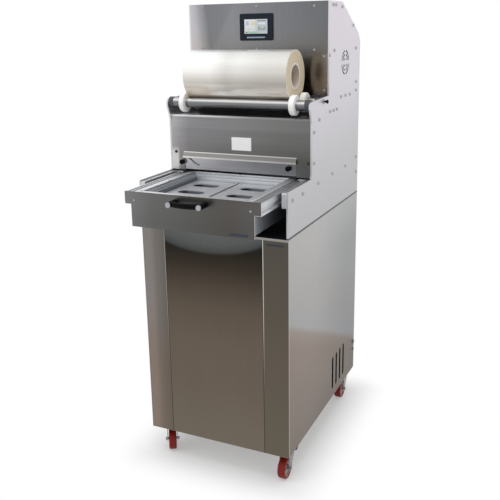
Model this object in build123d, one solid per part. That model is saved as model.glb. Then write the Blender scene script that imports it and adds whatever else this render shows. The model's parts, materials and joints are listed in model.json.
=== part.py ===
from build123d import *
import math
import os

os.makedirs("parts", exist_ok=True)

# Tray sealer on castors, in millimetres. X is across, +Y runs from the operator to the back, Z is up
# from the floor. The drawer stands pulled out. The origin is on the floor, midway along the machine.

# Overall sizes
body_width = 550
cabinet_depth = 764
drawer_reach = 137
handle_reach = 48
castor_height = 110
deck_level = 897
table_level = 1053
shelf_level = 1313
machine_height = 1640

# Sheet metal of the cabinet
sheet = 2
tray_floor = 3
tray_lip = 25
deck_thickness = 3
seam = 1.5
post_width = 92
front_return = 18
fold_radius = 1.8
top_flange = 20
trim_height = 8
trim_thickness = 1.5

# Ventilation slots in the cabinet sides
vent_count = 4
vent_pitch = 45.6
vent_width = 18
vent_height = 138
vent_above_floor_pan = 35
vent_middle_from_rear = 222

# Side plates of the sealing head
plate_thickness = 6
cover_from_front = 218
head_from_front = 391
head_top_depth = 140
rear_corner_drop = 140
rear_bend_drop = 110
rear_bend_inset = 26
shelf_rise = 6
shelf_nose = 18
nose_drop = 72
nose_lip = 24
shelf_corner_radius = 20
notch_radius = 10
fan_middle_from_rear = 189
fan_middle_drop = 215
fan_ring_count = 3
fan_inner_radius = 16
fan_ring_pitch = 13
fan_slot_width = 6.5
fan_bridge = 12

# Head panels and display
head_seam_drop = 178
head_overlap = 10
cover_bend_radius = 7
display_width = 128
display_height = 94
display_depth = 8
display_corner = 5
display_edge = 1.5
display_middle_drop = 83.5
screen_width = 90
screen_height = 50
screen_depth = 1
screen_rise = 2

# Cover over the sealing station
cover_lift = 2
cover_top_below_shelf = 53
cover_slope_drop = 49
cover_lean = 6
cover_shoulder_radius = 12
window_side_margin = 53
window_height = 53
lip_side_margin = 49
lip_above_window = 16
lip_drop = 18
lip_reach = 10
lip_hem = 5
guard_side_margin = 39
guard_thickness = 3
guard_lift = 5
guard_overlap = 17
knob_radius = 9
knob_length = 14
knob_round = 3
knob_neck_radius = 5
knob_neck = 4
knob_lift = 31
left_knob_inset = 44
right_knob_inset = 79
lever_radius = 2
lever_stand = 0.5
lever_boss_radius = 5
lever_bend_radius = 8
lever_inset = 68
lever_below_window = 8
lever_run = (24, 18)
lever_drops = (20, 6)

# Film roll and the two rollers that carry it
roller_radius = 17.5
roller_below_shelf = 13
front_roller_behind_cover = 5
roller_spacing = 100
roller_end_play = 2
film_radius = 88
film_end_gap = 75
core_outer_radius = 44
core_bore_radius = 38
roll_gap = 0.3
collar_radius = 34.5
collar_width = 20
collar_clearance = 5.2
collar_round = 4
bearing_radius = 19
bearing_length = 18
bearing_wall = 5
bearing_edge = 0.5
running_clearance = 0.05

# Drawer with the tray mould
drawer_travel = 345
drawer_drop = 6
drawer_side_gap = 26
front_plate_thickness = 3
front_plate_height = 117
front_plate_overhang = 14
ear_height = 41
ear_round = 2
rail_width = 37
rail_drop = 2
rail_height = 41
rail_tail = 380
rail_groove_width = 8
rail_groove_depth = 5
rail_groove_places = (0.30, 0.68)
rail_web = 9
rail_side_slot = 14
frame_rear = 243
frame_height = 44
frame_margin = 34
recess_depth = 37
recess_front = -104
recess_rear = 222
step_width = 7
step_depths = (6, 15)
step_count = 2
ledge_width = 14
insert_thickness = 8
insert_play = 0.5
insert_split = 2
insert_edge = 1
cavity_length = 98
cavity_width = 42
cavity_from_outer_edge = 80
cavity_rows = (34, 143)
cavity_depth = 18
cavity_wall = 3
box_front = -122
box_rear = 240
box_height = 71

# Fixed guides for the drawer
guide_front_lip_start = 216
guide_from_rear = 19
guide_outer_gap = 0.5
guide_lip_reach = 18
guide_lip_thickness = 4
guide_round = 6
front_guide_gap = 10

# Drawer handle
handle_half_spacing = 54
handle_drop = 22
handle_radius = 9
handle_cap_length = 5
handle_cap_round = 1.5
handle_bow = 11

# Castors
wheel_radius = 40
wheel_width = 28
tyre_thickness = 9
tyre_round = 5
hub_inset = 2
hub_dish = 6
hub_rim = 3
hub_boss_radius = 13
castor_trail = 32
castor_inset = 35
front_castor_from_front = 80
rear_castor_from_rear = 50
front_left_turn = 31
plate_width = 67
plate_length = 95
plate_corner = 8
castor_plate_thickness = 3
race_radius = 24
race_height = 6
race_round = 2
race_gap = 0.3
crown_radius = 26
crown_height = 4
fork_gap = 3.5
fork_thickness = 2.5
fork_toe_radius = 12
fork_bend = 5
axle_radius = 5
axle_head = 3
pedal_root = 14
pedal_reach = 78
pedal_width = 34
pedal_thickness = 3.5
pedal_dip = 26
pedal_tip_rise = 20
pedal_tip_length = 38
pedal_bend_radius = 8
pedal_corner = 10

# Places worked out from the sizes
half_width = body_width / 2
front = -(cabinet_depth - drawer_reach - handle_reach) / 2
rear = front + cabinet_depth
tray_top = castor_height + tray_floor
cabinet_top = deck_level - deck_thickness
front_panel_half = half_width - post_width
plate_inside = half_width - plate_thickness
cover_y = front + cover_from_front
head_y = front + head_from_front
cover_bottom = table_level + cover_lift
cover_top = shelf_level - cover_top_below_shelf
window_top = cover_bottom + window_height
lip_root = window_top + lip_above_window
guard_front_y = cover_y + sheet
display_middle = machine_height - display_middle_drop
display_front_y = head_y - display_depth
roller_height = shelf_level - roller_below_shelf
front_roller_y = cover_y + front_roller_behind_cover
rear_roller_y = front_roller_y + roller_spacing
film_half_length = plate_inside - film_end_gap
film_y = (front_roller_y + rear_roller_y) / 2
film_lift = math.sqrt((film_radius + roller_radius + roll_gap) ** 2 - (roller_spacing / 2) ** 2)
film_z = roller_height + film_lift
drawer_top = table_level - drawer_drop
front_plate_y = front - drawer_reach
plate_back_y = front_plate_y + front_plate_thickness
ear_half = plate_inside - drawer_side_gap
frame_half = ear_half - rail_width
front_plate_half = frame_half + front_plate_overhang
rail_top = drawer_top - rail_drop
rail_bottom = rail_top - rail_height
frame_bottom = drawer_top - frame_height
recess_half = frame_half - frame_margin
ledge_top = drawer_top - recess_depth
insert_top = ledge_top + insert_thickness
cavity_x = recess_half - cavity_from_outer_edge
handle_height = drawer_top - handle_drop
castor_x = half_width - castor_inset
rear_castor_y = rear - rear_castor_from_rear
front_castor_y = front + front_castor_from_front
crown_top = castor_height - castor_plate_thickness - race_height - race_gap
castor_places = {
    "front_left": (-castor_x, front_castor_y, front_left_turn),
    "front_right": (castor_x, front_castor_y, 0),
    "rear_left": (-castor_x, rear_castor_y, 0),
    "rear_right": (castor_x, rear_castor_y, 0),
}
sides = {"left": -1, "right": 1}


def block(xs, ys, zs):
    """Box between the two ends given for each axis."""
    x, y, z = sorted(xs), sorted(ys), sorted(zs)
    middle = Pos((x[0] + x[1]) / 2, (y[0] + y[1]) / 2, (z[0] + z[1]) / 2)
    return middle * Box(x[1] - x[0], y[1] - y[0], z[1] - z[0])


def rod_x(xs, y, z, radius):
    low, high = sorted(xs)
    return Pos((low + high) / 2, y, z) * Rot(0, 90, 0) * Cylinder(radius, high - low)


def rod_y(x, ys, z, radius):
    low, high = sorted(ys)
    return Pos(x, (low + high) / 2, z) * Rot(90, 0, 0) * Cylinder(radius, high - low)


def rod_z(x, y, zs, radius):
    low, high = sorted(zs)
    return Pos(x, y, (low + high) / 2) * Cylinder(radius, high - low)


def side_extrusion(face, xs):
    """Extrude a face drawn in (Y, Z) between two X positions."""
    low, high = sorted(xs)
    return extrude(Plane.YZ.offset(low) * face, amount=high - low)


def bent_sheet(points, thickness, xs, bend_radii):
    """Folded sheet with rounded bends, to the right of a path of points along its outer side."""
    path = FilletPolyline(*points, radius=bend_radii)
    strip = make_face(offset(path, amount=thickness, side=Side.RIGHT, kind=Kind.INTERSECTION))
    return side_extrusion(strip, xs)


def head_outline():
    """Stepped outline of a side plate in (Y, Z), with a nose ahead of the cover for the front roller."""
    nose_y = cover_y - shelf_nose
    top_back = head_y + head_top_depth
    points = [
        (front, deck_level),
        (front, table_level),
        (cover_y, table_level),
        (cover_y, shelf_level - nose_drop),
        (nose_y, shelf_level - nose_lip),
        (nose_y, shelf_level),
        (head_y, shelf_level + shelf_rise),
        (head_y, machine_height),
        (top_back, machine_height),
        (rear - rear_bend_inset, machine_height - rear_bend_drop),
        (rear, machine_height - rear_corner_drop),
        (rear, deck_level),
    ]
    face = make_face(Polyline(*points, close=True))
    rounded_corners = {
        (nose_y, shelf_level, 0): shelf_corner_radius,
        (cover_y, table_level, 0): notch_radius,
    }
    for corner, radius in rounded_corners.items():
        face = fillet(face.vertices().sort_by_distance(corner)[0], radius)
    return face


# Cabinet

def base_tray():
    floor = block((-half_width, half_width), (front, rear), (castor_height, tray_top))
    lip_outer = half_width - sheet
    lip_front = front + sheet + front_return + sheet
    lips = block((-lip_outer, lip_outer), (lip_front, rear - sheet), (tray_top, tray_top + tray_lip))
    inside = lip_outer - sheet
    lips -= block((-inside, inside), (lip_front + sheet, rear - 2 * sheet), (tray_top, tray_top + tray_lip))
    return floor + lips


def cabinet_side(side):
    outer, inner = side * half_width, side * (half_width - sheet)
    panel = block((inner, outer), (front + sheet, rear - sheet), (tray_top, cabinet_top))
    panel += block(
        (side * (half_width - top_flange), inner),
        (front + 2 * sheet + front_return, rear - sheet),
        (cabinet_top - sheet, cabinet_top),
    )
    vent_middle_z = castor_height + vent_above_floor_pan + vent_height / 2
    vent_middle_y = rear - vent_middle_from_rear
    for index in range(vent_count):
        y = vent_middle_y + (index - (vent_count - 1) / 2) * vent_pitch
        slot = Pos(y, vent_middle_z) * Rot(0, 0, 90) * SlotOverall(vent_height, vent_width)
        panel -= side_extrusion(slot, (inner - side, outer + side))
    return panel


def front_post(side):
    """Narrow column beside the front panel, with a folded return inside and a rounded outer corner."""
    inner_edge = side * (front_panel_half + seam)
    face = block((inner_edge, side * half_width), (front, front + sheet), (tray_top, cabinet_top))
    corner = face.edges().filter_by(Axis.Z).sort_by_distance((side * half_width, front, tray_top))[0]
    face = fillet(corner, fold_radius)
    turn = block(
        (inner_edge, inner_edge + side * sheet),
        (front + sheet, front + sheet + front_return),
        (tray_top, cabinet_top),
    )
    return face + turn


def front_panel():
    panel = block((-front_panel_half, front_panel_half), (front, front + sheet), (tray_top, cabinet_top))
    for side in sides.values():
        panel += block(
            (side * front_panel_half, side * (front_panel_half - sheet)),
            (front + sheet, front + sheet + front_return),
            (tray_top, cabinet_top),
        )
    return panel


def cabinet_back():
    return block((-half_width, half_width), (rear - sheet, rear), (tray_top, cabinet_top))


def deck():
    return block((-half_width, half_width), (front, rear), (cabinet_top, deck_level))


def deck_trim():
    zs = (deck_level - trim_height, deck_level)
    return block((-half_width, half_width), (front - trim_thickness, front), zs)


# Sealing head

def fan_slots():
    """Rings of curved slots in four quarters, drawn round the middle of the fan in (Y, Z)."""
    slots = Sketch()
    for ring in range(fan_ring_count):
        radius = fan_inner_radius + ring * fan_ring_pitch
        bridge = math.degrees((fan_bridge + fan_slot_width) / 2 / radius)
        for quarter in range(4):
            arc = CenterArc((0, 0), radius, quarter * 90 + bridge, 90 - 2 * bridge)
            slots += SlotArc(arc, fan_slot_width)
    return slots


def side_plate(side):
    middle = Pos(rear - fan_middle_from_rear, machine_height - fan_middle_drop)
    return side_extrusion(head_outline() - middle * fan_slots(), (side * plate_inside, side * half_width))


def head_front_panel():
    bottom = machine_height - head_seam_drop
    return block((-plate_inside, plate_inside), (head_y, head_y + sheet), (bottom, machine_height))


def roll_back_panel():
    ys = (head_y + sheet, head_y + 2 * sheet)
    top = machine_height - head_seam_drop + head_overlap
    return block((-plate_inside, plate_inside), ys, (shelf_level + shelf_rise, top))


def head_cover():
    points = [
        (head_y + sheet, machine_height),
        (head_y + head_top_depth, machine_height),
        (rear - rear_bend_inset, machine_height - rear_bend_drop),
        (rear, machine_height - rear_corner_drop),
    ]
    return bent_sheet(points, sheet, (-plate_inside, plate_inside), cover_bend_radius)


def rear_panel():
    top = machine_height - rear_corner_drop - 2 * sheet
    return block((-plate_inside, plate_inside), (rear - sheet, rear), (deck_level, top))


def screen_pocket():
    middle = display_middle + screen_rise
    return block(
        (-screen_width / 2, screen_width / 2),
        (display_front_y, display_front_y + screen_depth),
        (middle - screen_height / 2, middle + screen_height / 2),
    )


def display_housing():
    outline = RectangleRounded(display_width, display_height, display_corner)
    body = extrude(Plane.XZ.offset(-head_y) * Pos(0, display_middle) * outline, amount=display_depth)
    body = chamfer(body.faces().sort_by(Axis.Y)[0].edges(), display_edge)
    return body - screen_pocket()


def sealing_cover():
    points = [
        (cover_y, cover_bottom),
        (cover_y, cover_top - cover_slope_drop),
        (cover_y + cover_lean, cover_top),
        (head_y, cover_top),
    ]
    bends = [cover_bend_radius, cover_shoulder_radius]
    cover = bent_sheet(points, sheet, (-plate_inside, plate_inside), bends)
    window_half = plate_inside - window_side_margin
    cover -= block(
        (-window_half, window_half),
        (cover_y - sheet, cover_y + 2 * sheet),
        (cover_bottom, window_top),
    )
    lip_half = plate_inside - lip_side_margin
    lip_y = cover_y - lip_reach
    lip_points = [
        (lip_y, lip_root - lip_drop - lip_hem),
        (lip_y, lip_root - lip_drop),
        (cover_y, lip_root),
        (cover_y, lip_root - sheet),
        (lip_y + sheet, lip_root - lip_drop - sheet / 2),
        (lip_y + sheet, lip_root - lip_drop - lip_hem),
    ]
    return cover + side_extrusion(make_face(Polyline(*lip_points, close=True)), (-lip_half, lip_half))


def guard_plate():
    guard_half = plate_inside - guard_side_margin
    return block(
        (-guard_half, guard_half),
        (guard_front_y, guard_front_y + guard_thickness),
        (table_level + guard_lift, window_top + guard_overlap),
    )


def knob(x, seat_y):
    """Turned knob on a short neck."""
    height = table_level + knob_lift
    head = rod_y(x, (seat_y - knob_neck, seat_y - knob_length), height, knob_radius)
    head = fillet(head.edges(), knob_round)
    return head + rod_y(x, (seat_y, seat_y - knob_length / 2), height, knob_neck_radius)


def guard_knobs():
    left_knob = knob(left_knob_inset - plate_inside, cover_y)
    return left_knob + knob(plate_inside - right_knob_inset, guard_front_y)


def guard_lever():
    """Bent wire on a small boss beside the left knob."""
    x = lever_inset - plate_inside
    y = guard_front_y - lever_stand - lever_radius
    z = window_top - lever_below_window
    path = FilletPolyline(
        (x, y, z),
        (x + lever_run[0], y, z - lever_drops[0]),
        (x + sum(lever_run), y, z - sum(lever_drops)),
        radius=lever_bend_radius,
    )
    section = Plane(origin=path @ 0, z_dir=path % 0) * Circle(lever_radius)
    boss_front = guard_front_y - 2 * (lever_stand + lever_radius)
    return sweep(section, path=path) + rod_y(x, (guard_front_y, boss_front), z, lever_boss_radius)


# Rollers and film

def roller_bar(y):
    end = plate_inside - bearing_wall - roller_end_play
    return rod_x((-end, end), y, roller_height, roller_radius)


def roller_collars(y):
    inner = film_half_length + collar_clearance
    collars = Part()
    for side in sides.values():
        ring = rod_x((side * inner, side * (inner + collar_width)), y, roller_height, collar_radius)
        ring = fillet(ring.edges(), collar_round)
        collars += ring
    return collars - roller_bar(y)


def roller_bearings():
    """Sleeves on the inside of the side plates, bored from their open ends."""
    bearings = Part()
    bore_radius = roller_radius + running_clearance
    for side in sides.values():
        seat = side * plate_inside
        mouth = side * (plate_inside - bearing_length)
        bore_end = side * (plate_inside - bearing_wall)
        for y in (front_roller_y, rear_roller_y):
            sleeve = rod_x((mouth, seat), y, roller_height, bearing_radius)
            sleeve = chamfer(sleeve.edges().sort_by(Axis.X)[0 if side > 0 else -1], bearing_edge)
            bearings += sleeve - rod_x((mouth, bore_end), y, roller_height, bore_radius)
    return bearings


def film_roll():
    film = rod_x((-film_half_length, film_half_length), film_y, film_z, film_radius)
    return film - rod_x((-film_half_length, film_half_length), film_y, film_z, core_outer_radius)


def film_core():
    core = rod_x((-film_half_length, film_half_length), film_y, film_z, core_outer_radius)
    return core - rod_x((-film_half_length, film_half_length), film_y, film_z, core_bore_radius)


# Drawer

def drawer_front():
    """Front plate of the drawer: a wide lower part and two ears that cover the ends of the rails."""
    bottom, shoulder = drawer_top - front_plate_height, drawer_top - ear_height
    points = [
        (-front_plate_half, bottom),
        (front_plate_half, bottom),
        (front_plate_half, shoulder),
        (ear_half, shoulder),
        (ear_half, drawer_top),
        (-ear_half, drawer_top),
        (-ear_half, shoulder),
        (-front_plate_half, shoulder),
    ]
    outline = make_face(Polyline(*points, close=True))
    for side in sides.values():
        for corner in ((side * ear_half, drawer_top), (side * ear_half, shoulder)):
            outline = fillet(outline.vertices().sort_by_distance((*corner, 0))[0], ear_round)
    return extrude(Plane.XZ.offset(-plate_back_y) * outline, amount=front_plate_thickness)


def slide_rail(side):
    """Extruded rail with two grooves on top and a wide slot along its outer face."""
    inner, outer = side * frame_half, side * ear_half
    ys = (plate_back_y, front + rail_tail)
    rail = block((inner, outer), ys, (rail_bottom, rail_top))
    for share in rail_groove_places:
        middle = inner + side * share * rail_width
        groove = (middle - rail_groove_width / 2, middle + rail_groove_width / 2)
        rail -= block(groove, ys, (rail_top - rail_groove_depth, rail_top))
    slot_low = rail_bottom + rail_web
    return rail - block((outer - side * rail_groove_depth, outer), ys, (slot_low, slot_low + rail_side_slot))


def mould_frame():
    """Milled frame whose recess narrows in steps to the ledge that carries the inserts."""
    frame = block((-frame_half, frame_half), (plate_back_y, front + frame_rear), (frame_bottom, drawer_top))
    frame -= block(
        (-recess_half, recess_half),
        (front + recess_front, front + recess_rear),
        (ledge_top, drawer_top),
    )
    for step, depth in enumerate(step_depths):
        wider = (step_count - step) * step_width
        frame -= block(
            (-recess_half - wider, recess_half + wider),
            (front + recess_front - wider, front + recess_rear + wider),
            (drawer_top - depth, drawer_top),
        )
    inner = recess_half - ledge_width
    frame -= block(
        (-inner, inner),
        (front + recess_front + ledge_width, front + recess_rear - ledge_width),
        (frame_bottom, ledge_top),
    )
    return frame


def tray_insert(side):
    """Milled plate with two round-ended pockets, each closed below by its own thin floor and wall."""
    plate = block(
        (side * insert_split / 2, side * (recess_half - insert_play)),
        (front + recess_front + insert_play, front + recess_rear - insert_play),
        (ledge_top, insert_top),
    )
    plate = chamfer(plate.faces().sort_by(Axis.Z)[-1].edges(), insert_edge)
    floor_level = insert_top - cavity_depth
    cup_bottom = floor_level - cavity_wall
    for row in cavity_rows:
        place = Pos(side * cavity_x, front + row)
        cup = place * SlotOverall(cavity_length + 2 * cavity_wall, cavity_width + 2 * cavity_wall)
        pocket = place * SlotOverall(cavity_length, cavity_width)
        plate += extrude(Pos(0, 0, cup_bottom) * cup, amount=ledge_top - cup_bottom)
        plate -= extrude(Pos(0, 0, floor_level) * pocket, amount=cavity_depth)
    return plate


def drawer_box():
    ys = (front + box_front, front + box_rear)
    box_bottom = frame_bottom - box_height
    box = block((-frame_half, frame_half), ys, (box_bottom, frame_bottom))
    inner = frame_half - sheet
    box -= block((-inner, inner), (ys[0] + sheet, ys[1] - sheet), (box_bottom + sheet, frame_bottom))
    return box


def drawer_guide(side):
    """Channel that wraps the rail behind the cover, with its lips cut back where the front plate passes."""
    wall_inner = ear_half + guide_outer_gap
    lip_inner = ear_half - guide_lip_reach
    low = rail_bottom - guide_outer_gap - guide_lip_thickness
    high = rail_top + guide_outer_gap + guide_lip_thickness
    ys = (front + guide_front_lip_start, rear - guide_from_rear)
    channel = block((side * lip_inner, side * plate_inside), ys, (low, high))
    channel -= block(
        (side * lip_inner, side * wall_inner),
        ys,
        (rail_bottom - guide_outer_gap, rail_top + guide_outer_gap),
    )
    nose = block((side * (ear_half + front_guide_gap), side * plate_inside), (front, ys[0]), (low, high))
    top_corner = nose.edges().filter_by(Axis.X).sort_by_distance((side * plate_inside, front, high))[0]
    nose = fillet(top_corner, guide_round)
    return channel + nose


def handle_grip():
    start_y = front_plate_y - handle_reach + handle_radius + handle_bow
    end_y = front_plate_y - handle_reach + handle_cap_length + 1
    path = ThreePointArc(
        (-handle_half_spacing, start_y, handle_height),
        (0, start_y - handle_bow, handle_height),
        (handle_half_spacing, start_y, handle_height),
    )
    section = Plane(origin=path @ 0, z_dir=path % 0) * Circle(handle_radius)
    grip = sweep(section, path=path)
    for side in sides.values():
        grip += rod_y(side * handle_half_spacing, (front_plate_y, end_y), handle_height, handle_radius)
    return grip


def handle_caps():
    start_y = front_plate_y - handle_reach + handle_cap_length + 1
    caps = Part()
    ys = (start_y, start_y - handle_cap_length)
    for side in sides.values():
        cap = rod_y(side * handle_half_spacing, ys, handle_height, handle_radius)
        caps += fillet(cap.faces().sort_by(Axis.Y)[0].edges(), handle_cap_round)
    return caps


# Castors, each made about its own swivel axis and then turned

def castor_plates():
    plates = Part()
    race_top = castor_height - castor_plate_thickness
    for x, y, turn in castor_places.values():
        outline = Pos(x, y, race_top) * RectangleRounded(plate_width, plate_length, plate_corner)
        race = rod_z(x, y, (race_top - race_height, race_top), race_radius)
        race = fillet(race.faces().sort_by(Axis.Z)[0].edges(), race_round)
        plates += extrude(outline, amount=castor_plate_thickness) + race
    return plates


def turned(part, x, y, turn):
    return Pos(x, y) * Rot(0, 0, turn) * Pos(-x, -y) * part


def castor_fork(x, y):
    """Pressed fork: a round crown, two tapering legs with round toes, and the axle."""
    crown_bottom = crown_top - crown_height
    crown = rod_z(x, y, (crown_bottom, crown_top), crown_radius)
    leg_inner = wheel_width / 2 + fork_gap
    axle_y = y - castor_trail
    legs = Part()
    back = y + crown_radius * 0.7
    for side in sides.values():
        points = [
            (back, crown_top),
            (y - crown_radius, crown_top),
            (axle_y - fork_toe_radius, wheel_radius),
            (axle_y + fork_toe_radius, wheel_radius),
            (back, crown_bottom - crown_height),
        ]
        leg = make_face(Polyline(*points, close=True)) + Pos(axle_y, wheel_radius) * Circle(fork_toe_radius)
        legs += side_extrusion(leg, (x + side * leg_inner, x + side * (leg_inner + fork_thickness)))
    bridge = block(
        (x - leg_inner, x + leg_inner),
        (y - crown_radius + fork_bend, back),
        (crown_bottom, crown_top),
    )
    head = leg_inner + fork_thickness + axle_head
    return crown + bridge + legs + rod_x((x - head, x + head), axle_y, wheel_radius, axle_radius)


def castor_hub(x, y):
    half = wheel_width / 2 - hub_inset
    axle_y = y - castor_trail
    rim = wheel_radius - tyre_thickness
    hub = rod_x((x - half, x + half), axle_y, wheel_radius, rim)
    for side in sides.values():
        dish = (x + side * (half - hub_dish), x + side * half)
        ring = rod_x(dish, axle_y, wheel_radius, rim - hub_rim)
        hub -= ring - rod_x(dish, axle_y, wheel_radius, hub_boss_radius)
    return hub - rod_x((x - half, x + half), axle_y, wheel_radius, axle_radius + running_clearance)


def castor_tyre(x, y):
    half = wheel_width / 2
    axle_y = y - castor_trail
    tyre = rod_x((x - half, x + half), axle_y, wheel_radius, wheel_radius)
    tyre = fillet(tyre.edges(), tyre_round)
    return tyre - rod_x((x - half, x + half), axle_y, wheel_radius, wheel_radius - tyre_thickness)


def brake_pedal(x, y):
    """Strip under the crown that dips behind the wheel and turns up into a foot pad."""
    top = crown_top - crown_height - race_gap
    tip_y = y + pedal_reach
    path = FilletPolyline(
        (y - pedal_root, top),
        (y + pedal_root, top),
        (tip_y - pedal_tip_length, top - pedal_dip),
        (tip_y, top - pedal_dip + pedal_tip_rise),
        radius=pedal_bend_radius,
    )
    strip = make_face(offset(path, amount=pedal_thickness, side=Side.RIGHT, kind=Kind.INTERSECTION))
    pedal = side_extrusion(strip, (x - pedal_width / 2, x + pedal_width / 2))
    outline = Pos(x, y + (pedal_reach - pedal_root) / 2) * RectangleRounded(
        pedal_width, pedal_reach + pedal_root, pedal_corner
    )
    return pedal & extrude(outline, amount=castor_height)


nodes = {
    "base_tray": base_tray(),
    "front_panel": front_panel(),
    "cabinet_back": cabinet_back(),
    "deck": deck(),
    "deck_trim": deck_trim(),
    "head_front_panel": head_front_panel(),
    "roll_back_panel": roll_back_panel(),
    "head_cover": head_cover(),
    "rear_panel": rear_panel(),
    "display_housing": display_housing(),
    "display_screen": screen_pocket(),
    "sealing_cover": sealing_cover(),
    "guard_plate": guard_plate(),
    "guard_knobs": guard_knobs(),
    "guard_lever": guard_lever(),
    "roller_bearings": roller_bearings(),
    "castor_plates": castor_plates(),
    "drawer_front": drawer_front(),
    "mould_frame": mould_frame(),
    "drawer_box": drawer_box(),
    "handle_grip": handle_grip(),
    "handle_caps": handle_caps(),
    "film_roll": film_roll(),
    "film_core": film_core(),
    "front_roller_bar": roller_bar(front_roller_y),
    "front_roller_collars": roller_collars(front_roller_y),
    "rear_roller_bar": roller_bar(rear_roller_y),
    "rear_roller_collars": roller_collars(rear_roller_y),
}
for name, side in sides.items():
    nodes[f"cabinet_side_{name}"] = cabinet_side(side)
    nodes[f"front_post_{name}"] = front_post(side)
    nodes[f"side_plate_{name}"] = side_plate(side)
    nodes[f"drawer_guide_{name}"] = drawer_guide(side)
    nodes[f"slide_rail_{name}"] = slide_rail(side)
    nodes[f"tray_insert_{name}"] = tray_insert(side)
for name, (x, y, turn) in castor_places.items():
    nodes[f"castor_fork_{name}"] = turned(castor_fork(x, y), x, y, turn)
    nodes[f"castor_hub_{name}"] = turned(castor_hub(x, y), x, y, turn)
    nodes[f"castor_tyre_{name}"] = turned(castor_tyre(x, y), x, y, turn)
    if name.startswith("front"):
        nodes[f"brake_pedal_{name}"] = turned(brake_pedal(x, y), x, y, turn)

for name, part in nodes.items():
    export_step(part, f"parts/{name}.step")
closed_gap = cover_from_front - (drawer_travel - drawer_reach + front_plate_thickness)
print(len(nodes), "nodes; the closed drawer stops", closed_gap, "ahead of the cover")
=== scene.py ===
import json
import math

import bmesh
import bpy
from mathutils import Matrix, Vector


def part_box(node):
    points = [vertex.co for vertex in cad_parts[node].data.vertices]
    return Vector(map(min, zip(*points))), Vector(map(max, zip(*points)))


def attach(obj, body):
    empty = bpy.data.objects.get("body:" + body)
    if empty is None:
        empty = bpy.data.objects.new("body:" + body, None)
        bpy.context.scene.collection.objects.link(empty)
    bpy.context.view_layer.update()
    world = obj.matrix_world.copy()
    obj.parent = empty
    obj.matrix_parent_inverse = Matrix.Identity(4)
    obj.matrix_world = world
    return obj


# Looks of the tray sealer: materials for the CAD nodes, small fittings, floor, light and camera

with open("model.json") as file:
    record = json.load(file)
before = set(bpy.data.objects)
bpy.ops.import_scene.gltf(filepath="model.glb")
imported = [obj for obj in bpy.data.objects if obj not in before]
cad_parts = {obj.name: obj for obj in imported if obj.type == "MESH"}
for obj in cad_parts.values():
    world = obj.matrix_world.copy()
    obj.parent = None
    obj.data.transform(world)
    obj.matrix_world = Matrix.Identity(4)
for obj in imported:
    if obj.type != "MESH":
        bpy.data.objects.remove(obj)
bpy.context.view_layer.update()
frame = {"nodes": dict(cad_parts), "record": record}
nodes = frame["nodes"]

MM = 0.001
RIGHT, BACK, UP = Vector((1, 0, 0)), Vector((0, 1, 0)), Vector((0, 0, 1))
SIDES = {"left": -1, "right": 1}

# Places read from the frame, in metres
HALF_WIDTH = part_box("deck")[1].x
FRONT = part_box("deck")[0].y
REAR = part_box("deck")[1].y
CABINET_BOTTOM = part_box("base_tray")[0].z
POST_INNER_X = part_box("front_post_right")[0].x
SIDE_PLATE_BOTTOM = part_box("side_plate_left")[0].z
HEAD_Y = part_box("head_front_panel")[0].y
ROLL_PANEL_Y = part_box("roll_back_panel")[0].y
DRAWER_LOW, DRAWER_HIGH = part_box("drawer_front")
FRAME_LOW, FRAME_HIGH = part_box("mould_frame")
ROLL_LOW, ROLL_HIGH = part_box("film_roll")
ROLL_CENTRE = (ROLL_LOW + ROLL_HIGH) / 2
ROLL_RADIUS = (ROLL_HIGH.z - ROLL_LOW.z) / 2
BAR_AXIS_Z = (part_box("front_roller_bar")[0].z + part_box("front_roller_bar")[1].z) / 2

# The cover's upright sheet stands 2 mm ahead of the guard plate, and its hem is the front face of its lip
COVER_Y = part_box("guard_plate")[0].y - 2 * MM
COVER_LOW, COVER_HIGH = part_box("sealing_cover")
HEM = [v.co.z for v in nodes["sealing_cover"].data.vertices if v.co.y < COVER_LOW.y + 0.5 * MM]
HEM_LOW, HEM_HIGH = min(HEM), max(HEM)

# The middle of the cups, taken from the vertices of their floors
INSERT_LOW, INSERT_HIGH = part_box("tray_insert_right")
CUPS = [v.co.x for v in nodes["tray_insert_right"].data.vertices if v.co.z < INSERT_HIGH.z - 15 * MM]
CUP_X = (min(CUPS) + max(CUPS)) / 2

# Half of the film core's bore of 76 mm
CORE_BORE_RADIUS = 38 * MM


def srgb(red, green, blue):
    """Linear colour from the value that a screen shows, 0 to 255."""
    def linear(value):
        share = value / 255
        return share / 12.92 if share <= 0.04045 else ((share + 0.055) / 1.055) ** 2.4
    return (linear(red), linear(green), linear(blue), 1.0)


class Graph:
    """Short forms for building a node tree. Each value is a socket or a number."""

    def __init__(self, tree):
        self.tree = tree

    def add(self, kind, **settings):
        node = self.tree.nodes.new(kind)
        for key, value in settings.items():
            setattr(node, key, value)
        return node

    def connect(self, value, socket):
        if isinstance(value, bpy.types.NodeSocket):
            self.tree.links.new(value, socket)
        else:
            socket.default_value = value

    def math(self, operation, first, second=0.0):
        node = self.add("ShaderNodeMath", operation=operation)
        self.connect(first, node.inputs[0])
        self.connect(second, node.inputs[1])
        return node.outputs["Value"]

    def plus(self, first, second):
        return self.math("ADD", first, second)

    def minus(self, first, second):
        return self.math("SUBTRACT", first, second)

    def times(self, first, second):
        return self.math("MULTIPLY", first, second)

    def larger(self, first, second):
        return self.math("MAXIMUM", first, second)

    def length(self, first, second):
        """Length of a line that goes first one way and second at right angles to it."""
        return self.math("SQRT", self.plus(self.times(first, first), self.times(second, second)))

    def spread(self, value, low, high, to_low=0.0, to_high=1.0, smooth=True):
        """Map a value from one range to another, held at the ends."""
        node = self.add("ShaderNodeMapRange", interpolation_type="SMOOTHSTEP" if smooth else "LINEAR")
        self.connect(value, node.inputs["Value"])
        for key, number in (("From Min", low), ("From Max", high), ("To Min", to_low), ("To Max", to_high)):
            self.connect(number, node.inputs[key])
        return node.outputs["Result"]


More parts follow.
